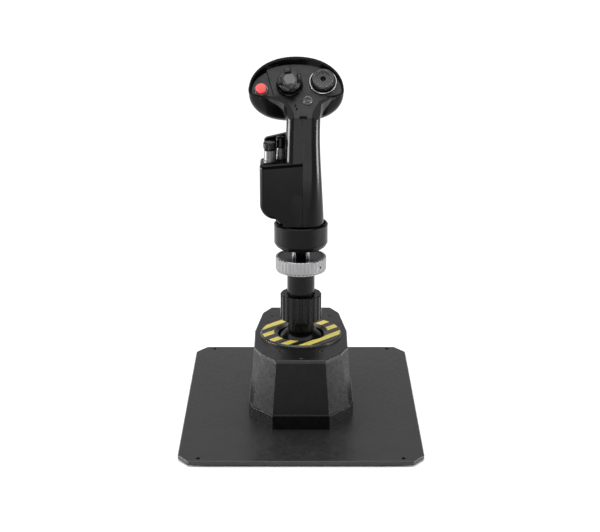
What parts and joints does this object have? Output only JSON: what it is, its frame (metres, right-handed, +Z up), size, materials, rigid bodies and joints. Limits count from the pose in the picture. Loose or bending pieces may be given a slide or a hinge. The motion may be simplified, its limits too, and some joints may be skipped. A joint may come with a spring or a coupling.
{
  "type": "flight joystick",
  "caption": "Desktop flight stick: heavy plate, faceted gimbal base, extension tube and a fighter-style grip with thumb hats, buttons, trigger and paddle.",
  "frame": {"origin": "centre of the footprint on the table, at the feet's underside", "axes": "+Z up along the stick, +Y away from the pilot, +X to the pilot's right"},
  "size_m": [0.228, 0.285, 0.347],
  "materials": {
    "plate_black": "fine satin black powder coat on steel",
    "foot_rubber": "black rubber pads",
    "screw_steel": "zinc plated steel",
    "screw_black": "blackened steel",
    "base_black": "satin black cast housing",
    "base_top": "satin black with a brighter bevel",
    "ring_black": "black ring with a worn metallic bevel",
    "stripe_yellow": "yellow stripe film",
    "cast_metal": "die cast frame",
    "bearing_steel": "ground bearing rings",
    "magnet": "nickel plated magnet",
    "board": "glass fibre circuit board",
    "spring_steel": "spring wire",
    "black_gloss": "semi gloss black moulding",
    "black_satin": "satin black moulding",
    "tube_black": "black anodised tube",
    "bright_alu": "bright machined aluminium",
    "bright_bezel": "bright turned bezel",
    "pin_steel": "polished pins",
    "cap_grey": "dark grey rubberised cap",
    "red": "red button",
    "lamp": "small lamp lens",
    "stem_grey": "grey switch posts"
  },
  "bodies": {
    "base": {"desktop_plate": "plate_black", "plate_feet": "foot_rubber", "plate_screws": "screw_steel", "base_pan": "base_black", "base_housing": "base_black", "base_top_plate": "base_top", "top_screws": "screw_black", "status_lamp": "lamp", "controller_board": "board", "board_screws": "screw_steel", "usb_socket": "bearing_steel", "warning_ring": "ring_black", "warning_stripes": "stripe_yellow", "gimbal_frame": "cast_metal", "pitch_bearings": "bearing_steel", "pitch_sensor_board": "board", "centring_springs": "spring_steel"},
    "yoke": {"pitch_yoke": "cast_metal", "roll_bearings": "bearing_steel", "pitch_magnet": "magnet", "roll_sensor_board": "board"},
    "stick": {"gimbal_core": "cast_metal", "dust_dome": "black_satin", "stick_stub": "tube_black", "extension_tube": "tube_black", "tube_socket": "black_satin", "grip_collar": "black_satin", "grip_plug": "black_satin", "locating_pins": "pin_steel", "grip_screws": "screw_steel", "grip_spar": "cast_metal", "grip_board": "board", "head_shell": "black_gloss", "face_plate": "black_satin", "lever_pins": "pin_steel", "paddle_bracket": "tube_black", "trigger_spring": "spring_steel", "paddle_spring": "spring_steel", "grip_left_half": "black_gloss", "grip_right_half": "black_gloss", "castle_bezel": "black_satin", "trim_bezel": "bright_bezel", "trim_post": "black_satin", "weapon_switch": "black_satin", "button_bezels": "cap_grey", "side_switch_posts": "stem_grey"},
    "coupling_nut": {"coupling_nut": "black_satin"},
    "lock_ring": {"lock_ring": "bright_alu"},
    "trigger": {"trigger": "black_gloss"},
    "paddle": {"paddle": "tube_black"},
    "castle_post": {"castle_post": "black_satin"},
    "castle_ring": {"castle_ring": "pin_steel"},
    "castle_cap": {"castle_cap": "cap_grey"},
    "trim_ring": {"trim_ring": "pin_steel"},
    "trim_cap": {"trim_cap": "cap_grey"},
    "weapon_button": {"weapon_button": "red"},
    "event_button": {"event_button": "cap_grey"},
    "side_hat_ring": {"side_hat_ring": "pin_steel"},
    "side_hat": {"side_hat": "black_satin"},
    "side_button": {"side_button": "black_satin"}
  },
  "joints": [
    {"name": "stick_pitch", "type": "hinge", "parent": "base", "child": "yoke", "pos_m": [0, 0.004, 0.052], "axis": [1, 0, 0], "range_deg": [-14, 14], "stiffness_Nm_per_rad": 8, "deforming": ["centring_springs"]},
    {"name": "stick_roll", "type": "hinge", "parent": "yoke", "child": "stick", "pos_m": [0, 0.004, 0.052], "axis": [0, 1, 0], "range_deg": [-14, 14], "stiffness_Nm_per_rad": 8},
    {"name": "coupling_nut_turn", "type": "hinge", "parent": "stick", "child": "coupling_nut", "pos_m": [0, 0.004, 0.104], "axis": [0, 0, 1], "continuous": true},
    {"name": "lock_ring_turn", "type": "hinge", "parent": "stick", "child": "lock_ring", "pos_m": [0, 0.004, 0.149], "axis": [0, 0, 1], "continuous": true},
    {"name": "trigger_pull", "type": "hinge", "parent": "stick", "child": "trigger", "pos_m": [0.002, 0.0355, 0.291], "axis": [-1, 0, 0], "range_deg": [0, 10], "stiffness_Nm_per_rad": 0.4, "springref_deg": -11.46, "deforming": ["trigger_spring"]},
    {"name": "paddle_pull", "type": "hinge", "parent": "stick", "child": "paddle", "pos_m": [0.0006, 0.0316, 0.216], "axis": [-1, 0, 0], "range_deg": [0, 12], "stiffness_Nm_per_rad": 0.4, "springref_deg": -11.46, "deforming": ["paddle_spring"]},
    {"name": "weapon_press", "type": "slide", "parent": "stick", "child": "weapon_button", "axis": [0, 0.7431, -0.6691], "range_m": [0, 0.0015], "stiffness_N_per_m": 800, "springref_m": -0.001},
    {"name": "event_press", "type": "slide", "parent": "stick", "child": "event_button", "axis": [0, 0.7431, -0.6691], "range_m": [0, 0.0008], "stiffness_N_per_m": 900, "springref_m": -0.001},
    {"name": "castle_press", "type": "slide", "parent": "stick", "child": "castle_post", "axis": [0, 0.7431, -0.6691], "range_m": [0, 0.0008], "stiffness_N_per_m": 1500, "springref_m": -0.001},
    {"name": "castle_fore_aft", "type": "hinge", "parent": "castle_post", "child": "castle_ring", "pos_m": [-0.0108, 0.01067, 0.3262], "axis": [1, 0, 0], "range_deg": [-8, 8], "stiffness_Nm_per_rad": 0.12},
    {"name": "castle_left_right", "type": "hinge", "parent": "castle_ring", "child": "castle_cap", "pos_m": [-0.0108, 0.01067, 0.3262], "axis": [0, 0.6691, 0.7431], "range_deg": [-8, 8], "stiffness_Nm_per_rad": 0.12},
    {"name": "trim_fore_aft", "type": "hinge", "parent": "stick", "child": "trim_ring", "pos_m": [0.021, 0.01511, 0.32665], "axis": [1, 0, 0], "range_deg": [-6, 6], "stiffness_Nm_per_rad": 0.12},
    {"name": "trim_left_right", "type": "hinge", "parent": "trim_ring", "child": "trim_cap", "pos_m": [0.021, 0.01511, 0.32665], "axis": [0, 0.6691, 0.7431], "range_deg": [-6, 6], "stiffness_Nm_per_rad": 0.12},
    {"name": "side_hat_fore_aft", "type": "hinge", "parent": "stick", "child": "side_hat_ring", "pos_m": [-0.0298, -0.003, 0.266], "axis": [1, 0, 0], "range_deg": [-8, 8], "stiffness_Nm_per_rad": 0.08},
    {"name": "side_hat_left_right", "type": "hinge", "parent": "side_hat_ring", "child": "side_hat", "pos_m": [-0.0298, -0.003, 0.266], "axis": [0, 1, 0], "range_deg": [-8, 8], "stiffness_Nm_per_rad": 0.08},
    {"name": "side_button_press", "type": "slide", "parent": "stick", "child": "side_button", "axis": [0, 0, -1], "range_m": [0, 0.0012], "stiffness_N_per_m": 800, "springref_m": -0.001}
  ]
}
